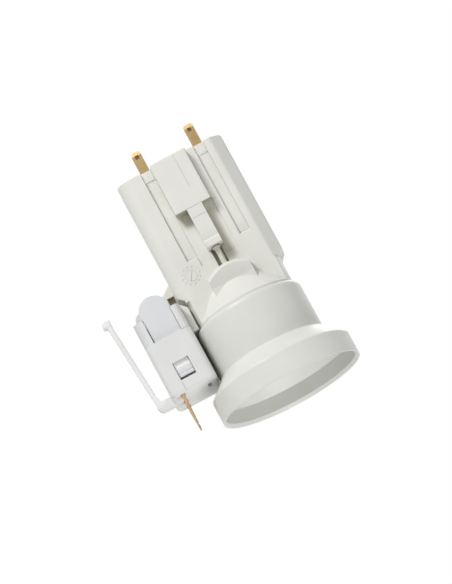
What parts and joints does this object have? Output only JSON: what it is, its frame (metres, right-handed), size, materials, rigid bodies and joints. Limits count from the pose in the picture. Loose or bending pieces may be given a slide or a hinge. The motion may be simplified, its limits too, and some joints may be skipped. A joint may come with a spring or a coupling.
{
  "type": "ceiling lamp holder with plug",
  "caption": "Pendant lamp holder with flat top pins, a spring latch on the front, a flared cup for the lamp, and a small flat-blade plug clipped to its side.",
  "frame": {"origin": "centre of the cup's rim plane, on the lamp axis", "axes": "+Z along the lamp axis up to the ceiling pins, -Y the front with the latch, +X away from the clipped plug"},
  "size_m": [0.0714, 0.0508, 0.0961],
  "materials": {
    "white_plastic": "fine matt moulded white thermoplastic",
    "skirt_plastic": "slightly glossier moulded white thermoplastic",
    "core_plastic": "cool bluish white moulded plastic",
    "rod_plastic": "moulded white plastic",
    "insulator": "heat-resistant off-white insulating moulding",
    "brass": "stamped brass",
    "nickel": "thin nickel-plated sheet",
    "steel": "zinc-plated steel"
  },
  "bodies": {
    "holder": {"body_housing": "white_plastic", "rear_cover": "white_plastic", "cover_screws": "steel", "skirt": "skirt_plastic", "socket_core": "insulator", "screw_shell": "nickel", "centre_contact": "brass", "side_contact": "brass", "contact_rivets": "brass", "live_pin": "brass", "neutral_pin": "brass", "live_strip": "brass", "neutral_strip": "brass", "strip_rivets": "brass", "spring_rod": "rod_plastic", "latch_spring": "steel", "plug_carrier": "white_plastic"},
    "latch": {"latch_slider": "white_plastic"},
    "plug": {"plug_shell": "white_plastic"},
    "strap": {"retaining_strap": "white_plastic"},
    "core": {"plug_core": "core_plastic", "live_blade": "brass", "neutral_blade": "brass", "earth_blade": "brass", "terminal_screws": "steel", "cord_clamp": "core_plastic", "clamp_screws": "steel"},
    "tab": {"release_tab": "core_plastic"}
  },
  "joints": [
    {"name": "latch_slide", "type": "slide", "parent": "holder", "child": "latch", "axis": [0, 0, -1], "range_m": [0, 0.003], "stiffness_N_per_m": 400, "deforming": ["latch_spring"]},
    {"name": "plug_release", "type": "slide", "parent": "holder", "child": "plug", "axis": [-1, 0, 0], "range_m": [0, 0.025]},
    {"name": "strap_fold", "type": "hinge", "parent": "plug", "child": "strap", "pos_m": [-0.0422, 0, 0.0169], "axis": [0, 1, 0], "range_deg": [-75, 7], "stiffness_Nm_per_rad": 0.01},
    {"name": "core_release", "type": "slide", "parent": "plug", "child": "core", "axis": [0, 0, 1], "range_m": [0, 0.04]},
    {"name": "tab_press", "type": "hinge", "parent": "core", "child": "tab", "pos_m": [-0.0282, -0.0106, 0.0284], "axis": [1, 0, 0], "range_deg": [0, 7], "stiffness_Nm_per_rad": 0.3}
  ]
}
